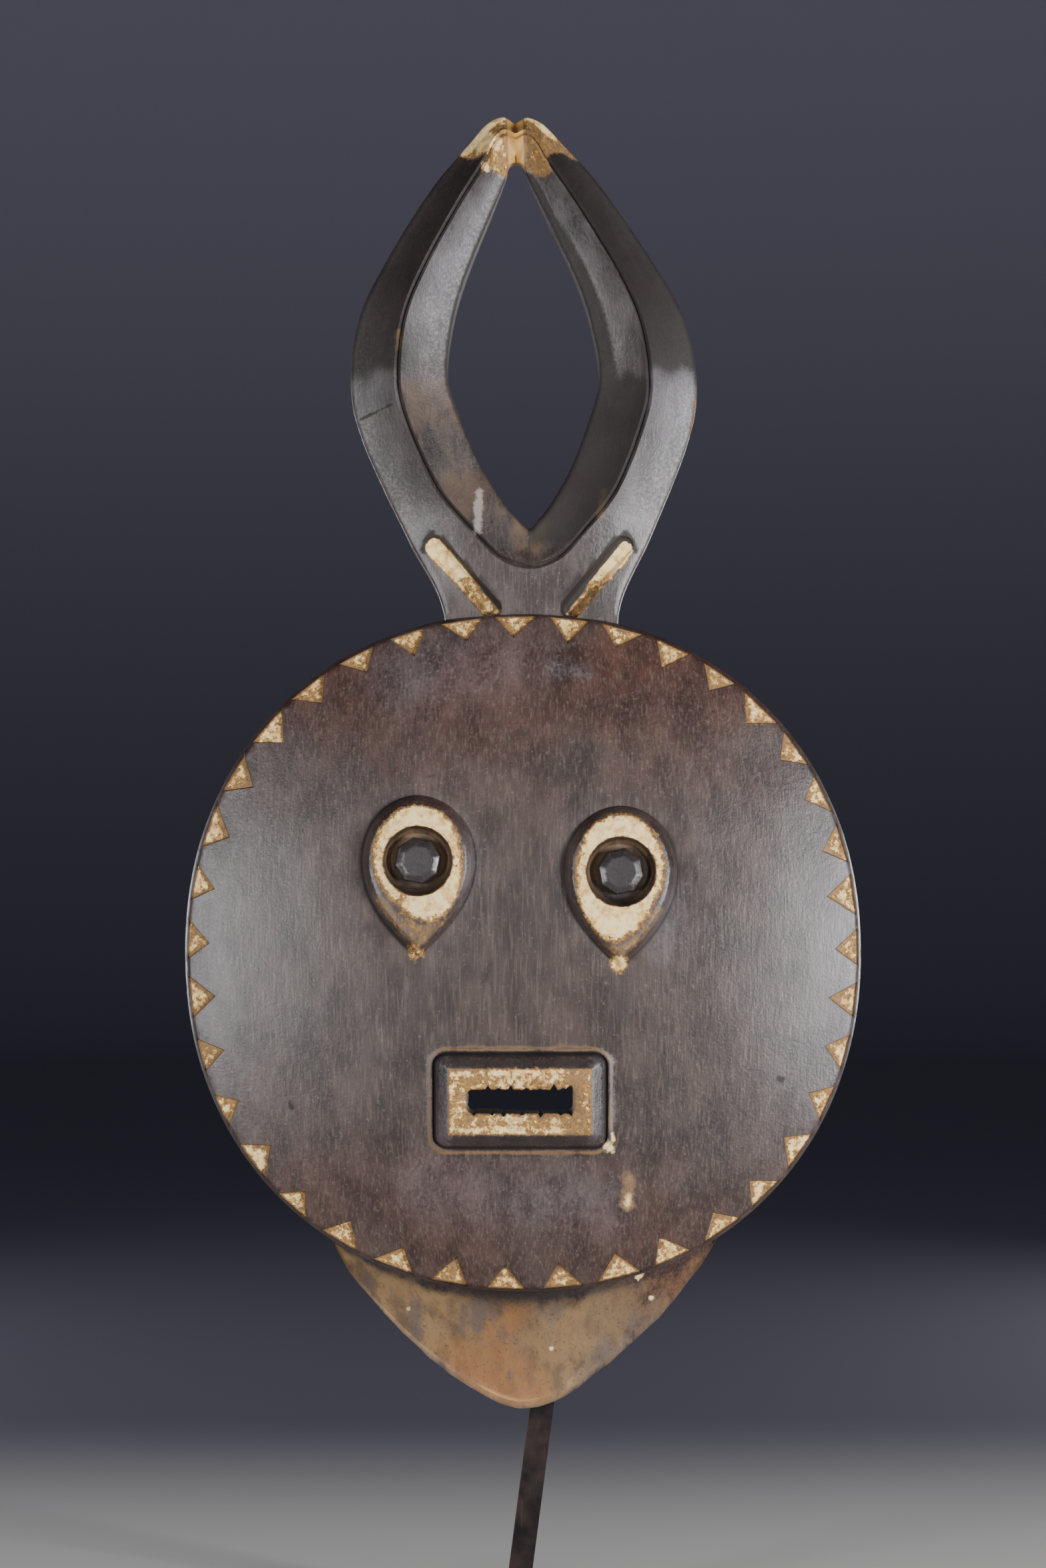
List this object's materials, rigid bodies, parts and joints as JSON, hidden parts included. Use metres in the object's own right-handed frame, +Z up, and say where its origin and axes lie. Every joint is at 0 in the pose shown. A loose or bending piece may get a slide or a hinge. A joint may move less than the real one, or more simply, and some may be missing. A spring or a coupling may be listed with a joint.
{
  "type": "goli mask",
  "caption": "Round domed carved wood mask with round pegged eyes, a slotted mouth and tall horns that meet, held upright on a square steel bar in a plate.",
  "frame": {"origin": "middle of the underside of the stand's foot plate", "axes": "+Z up, from the foot to the horns' tips; the mask's face looks along -Y, its right-hand side as seen from in front is +X"},
  "size_m": [0.365, 0.17, 0.8206],
  "materials": {
    "carved_wood": "dark waxed and smoked wood, worn, with flaking cream paint on the eyes, mouth, ears, rim and horn tips",
    "rod_steel": "blackened steel bar with rubbed brown edges",
    "foot_steel": "blackened steel plate, plain"
  },
  "bodies": {
    "root": {"mask": "carved_wood", "stand_rod": "rod_steel", "stand_foot": "foot_steel"}
  },
  "joints": []
}
